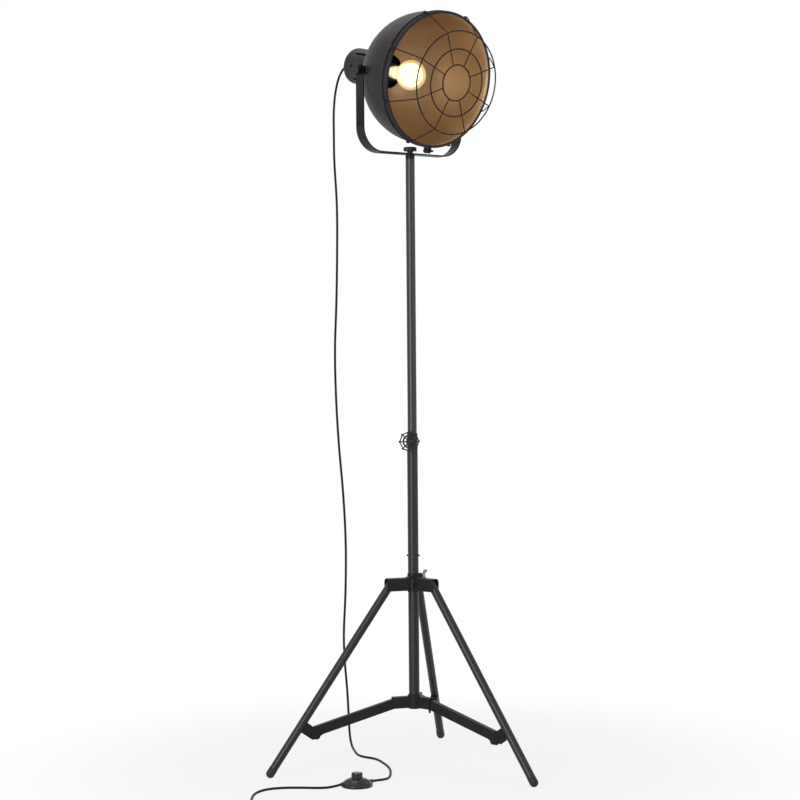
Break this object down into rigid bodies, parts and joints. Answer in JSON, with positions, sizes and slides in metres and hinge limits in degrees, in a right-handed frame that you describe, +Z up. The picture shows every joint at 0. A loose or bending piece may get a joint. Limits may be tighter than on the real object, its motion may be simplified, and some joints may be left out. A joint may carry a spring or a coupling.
{
  "type": "tripod floor lamp",
  "caption": "Spotlight floor lamp on a folding tripod with a telescopic mast, a tilting dome shade in a U yoke with a wire guard, and a corded foot switch.",
  "frame": {"origin": "centre of the lamp's footprint on the floor, without its cord", "axes": "+Z up along the post, +Y along the back leg, -Y the handwheel side"},
  "size_m": [0.6178, 0.9242, 1.7276],
  "materials": {
    "black_paint": "satin",
    "mast_paint": "satin",
    "shade_lining": "satin",
    "guard_wire": "satin",
    "steel": "brushed",
    "zinc": "satin",
    "black_plastic": "matte",
    "rubber": "matte",
    "switch_grey": "gloss",
    "cord": "satin",
    "bulb_glass": "gloss",
    "brass": "satin",
    "nickel": "polished"
  },
  "bodies": {
    "post": {"post_lower_tube": "black_paint", "post_upper_tube": "black_paint", "joint_sleeve": "steel", "joint_pin": "steel", "post_bush": "black_plastic", "clamp_boss": "black_paint", "bottom_hub": "black_paint", "hub_pins": "steel", "post_end_cap": "black_plastic", "cord_upper": "cord", "cord_lower": "cord", "cord_coil": "cord", "cord_tail": "cord", "switch_base": "black_plastic", "plug_body": "black_plastic", "plug_pins": "nickel"},
    "crown": {"crown": "black_paint", "crown_pins": "steel", "crown_screws": "steel"},
    "wing_bolt": {"wing_bolt": "zinc"},
    "mast": {"mast_tube": "mast_paint", "mast_plug": "black_paint", "mast_foot": "black_plastic"},
    "handwheel": {"handwheel": "black_paint", "clamp_screw": "steel"},
    "yoke": {"yoke": "black_paint", "yoke_washer": "steel"},
    "yoke_knob": {"yoke_knob": "black_plastic"},
    "head": {"shade": "black_paint", "rim_band": "black_paint", "band_bolt": "steel", "guard_face": "guard_wire", "guard_legs": "guard_wire", "guard_clips": "black_paint", "socket_housing": "black_paint", "lamp_holder": "black_plastic", "bulb_glass": "bulb_glass", "bulb_base": "brass", "pivot_bosses": "black_paint", "cord_gland": "black_plastic"},
    "pivot_knob_left": {"pivot_knob_left": "black_plastic"},
    "pivot_knob_right": {"pivot_knob_right": "black_plastic"},
    "switch_button": {"switch_button": "switch_grey"},
    "leg_back": {"leg_back": "black_paint", "leg_back_end": "black_plastic", "leg_back_bracket": "black_paint", "leg_back_foot": "rubber"},
    "strut_back": {"strut_back": "black_paint"},
    "leg_left": {"leg_left": "black_paint", "leg_left_end": "black_plastic", "leg_left_bracket": "black_paint", "leg_left_foot": "rubber"},
    "strut_left": {"strut_left": "black_paint"},
    "leg_right": {"leg_right": "black_paint", "leg_right_end": "black_plastic", "leg_right_bracket": "black_paint", "leg_right_foot": "rubber"},
    "strut_right": {"strut_right": "black_paint"}
  },
  "joints": [
    {"name": "crown_slide", "type": "slide", "parent": "post", "child": "crown", "axis": [0, 0, -1], "range_m": [0, 0.0954]},
    {"name": "leg_back_fold", "type": "hinge", "parent": "crown", "child": "leg_back", "pos_m": [0, -0.02366, 0.42368], "axis": [-1, 0, 0], "range_deg": [0, 31.2]},
    {"name": "strut_back_fold", "type": "hinge", "parent": "post", "child": "strut_back", "pos_m": [0, -0.03576, 0.1515], "axis": [-1, 0, 0], "range_deg": [0, 73.7]},
    {"name": "leg_left_fold", "type": "hinge", "parent": "crown", "child": "leg_left", "pos_m": [-0.04858, -0.10781, 0.42368], "axis": [0.5, -0.866, 0], "range_deg": [0, 31.2]},
    {"name": "strut_left_fold", "type": "hinge", "parent": "post", "child": "strut_left", "pos_m": [-0.0381, -0.10176, 0.1515], "axis": [0.5, -0.866, 0], "range_deg": [0, 73.7]},
    {"name": "leg_right_fold", "type": "hinge", "parent": "crown", "child": "leg_right", "pos_m": [0.04858, -0.10781, 0.42368], "axis": [0.5, 0.866, 0], "range_deg": [0, 31.2]},
    {"name": "strut_right_fold", "type": "hinge", "parent": "post", "child": "strut_right", "pos_m": [0.0381, -0.10176, 0.1515], "axis": [0.5, 0.866, 0], "range_deg": [0, 73.7]},
    {"name": "mast_slide", "type": "slide", "parent": "post", "child": "mast", "axis": [0, 0, 1], "range_m": [-0.06, 0.1], "deforming": ["cord_upper"]},
    {"name": "handwheel_turn", "type": "hinge", "parent": "post", "child": "handwheel", "pos_m": [0, -0.11576, 0.75318], "axis": [0, -1, 0], "range_deg": [0, 720]},
    {"name": "wing_bolt_turn", "type": "hinge", "parent": "crown", "child": "wing_bolt", "pos_m": [0.01732, -0.06976, 0.44268], "axis": [0.866, 0.5, 0], "range_deg": [0, 360]},
    {"name": "yoke_turn", "type": "hinge", "parent": "mast", "child": "yoke", "pos_m": [0, -0.07976, 1.40968], "axis": [0, 0, 1], "range_deg": [-170, 170], "deforming": ["cord_upper"]},
    {"name": "yoke_knob_turn", "type": "hinge", "parent": "mast", "child": "yoke_knob", "pos_m": [0, -0.07976, 1.41968], "axis": [0, 0, 1], "range_deg": [0, 720]},
    {"name": "shade_tilt", "type": "hinge", "parent": "yoke", "child": "head", "pos_m": [0, -0.07976, 1.59268], "axis": [0.6334, 0.7738, 0], "range_deg": [-75, 7], "deforming": ["cord_upper"]},
    {"name": "pivot_knob_left_turn", "type": "hinge", "parent": "head", "child": "pivot_knob_left", "pos_m": [-0.09501, -0.19584, 1.59268], "axis": [-0.6334, -0.7738, 0], "range_deg": [0, 720]},
    {"name": "pivot_knob_right_turn", "type": "hinge", "parent": "head", "child": "pivot_knob_right", "pos_m": [0.09501, 0.03632, 1.59268], "axis": [0.6334, 0.7738, 0], "range_deg": [0, 720]},
    {"name": "switch_press", "type": "slide", "parent": "post", "child": "switch_button", "axis": [0, 0, -1], "range_m": [0, 0.003], "stiffness_N_per_m": 600, "springref_m": -0.002}
  ],
  "couplings": [
    {"joint": "leg_back_fold", "follows": "crown_slide", "rad_per_m": 5.6714},
    {"joint": "strut_back_fold", "follows": "crown_slide", "rad_per_m": 13.444},
    {"joint": "leg_left_fold", "follows": "crown_slide", "rad_per_m": 5.6714},
    {"joint": "strut_left_fold", "follows": "crown_slide", "rad_per_m": 13.444},
    {"joint": "leg_right_fold", "follows": "crown_slide", "rad_per_m": 5.6714},
    {"joint": "strut_right_fold", "follows": "crown_slide", "rad_per_m": 13.444}
  ]
}
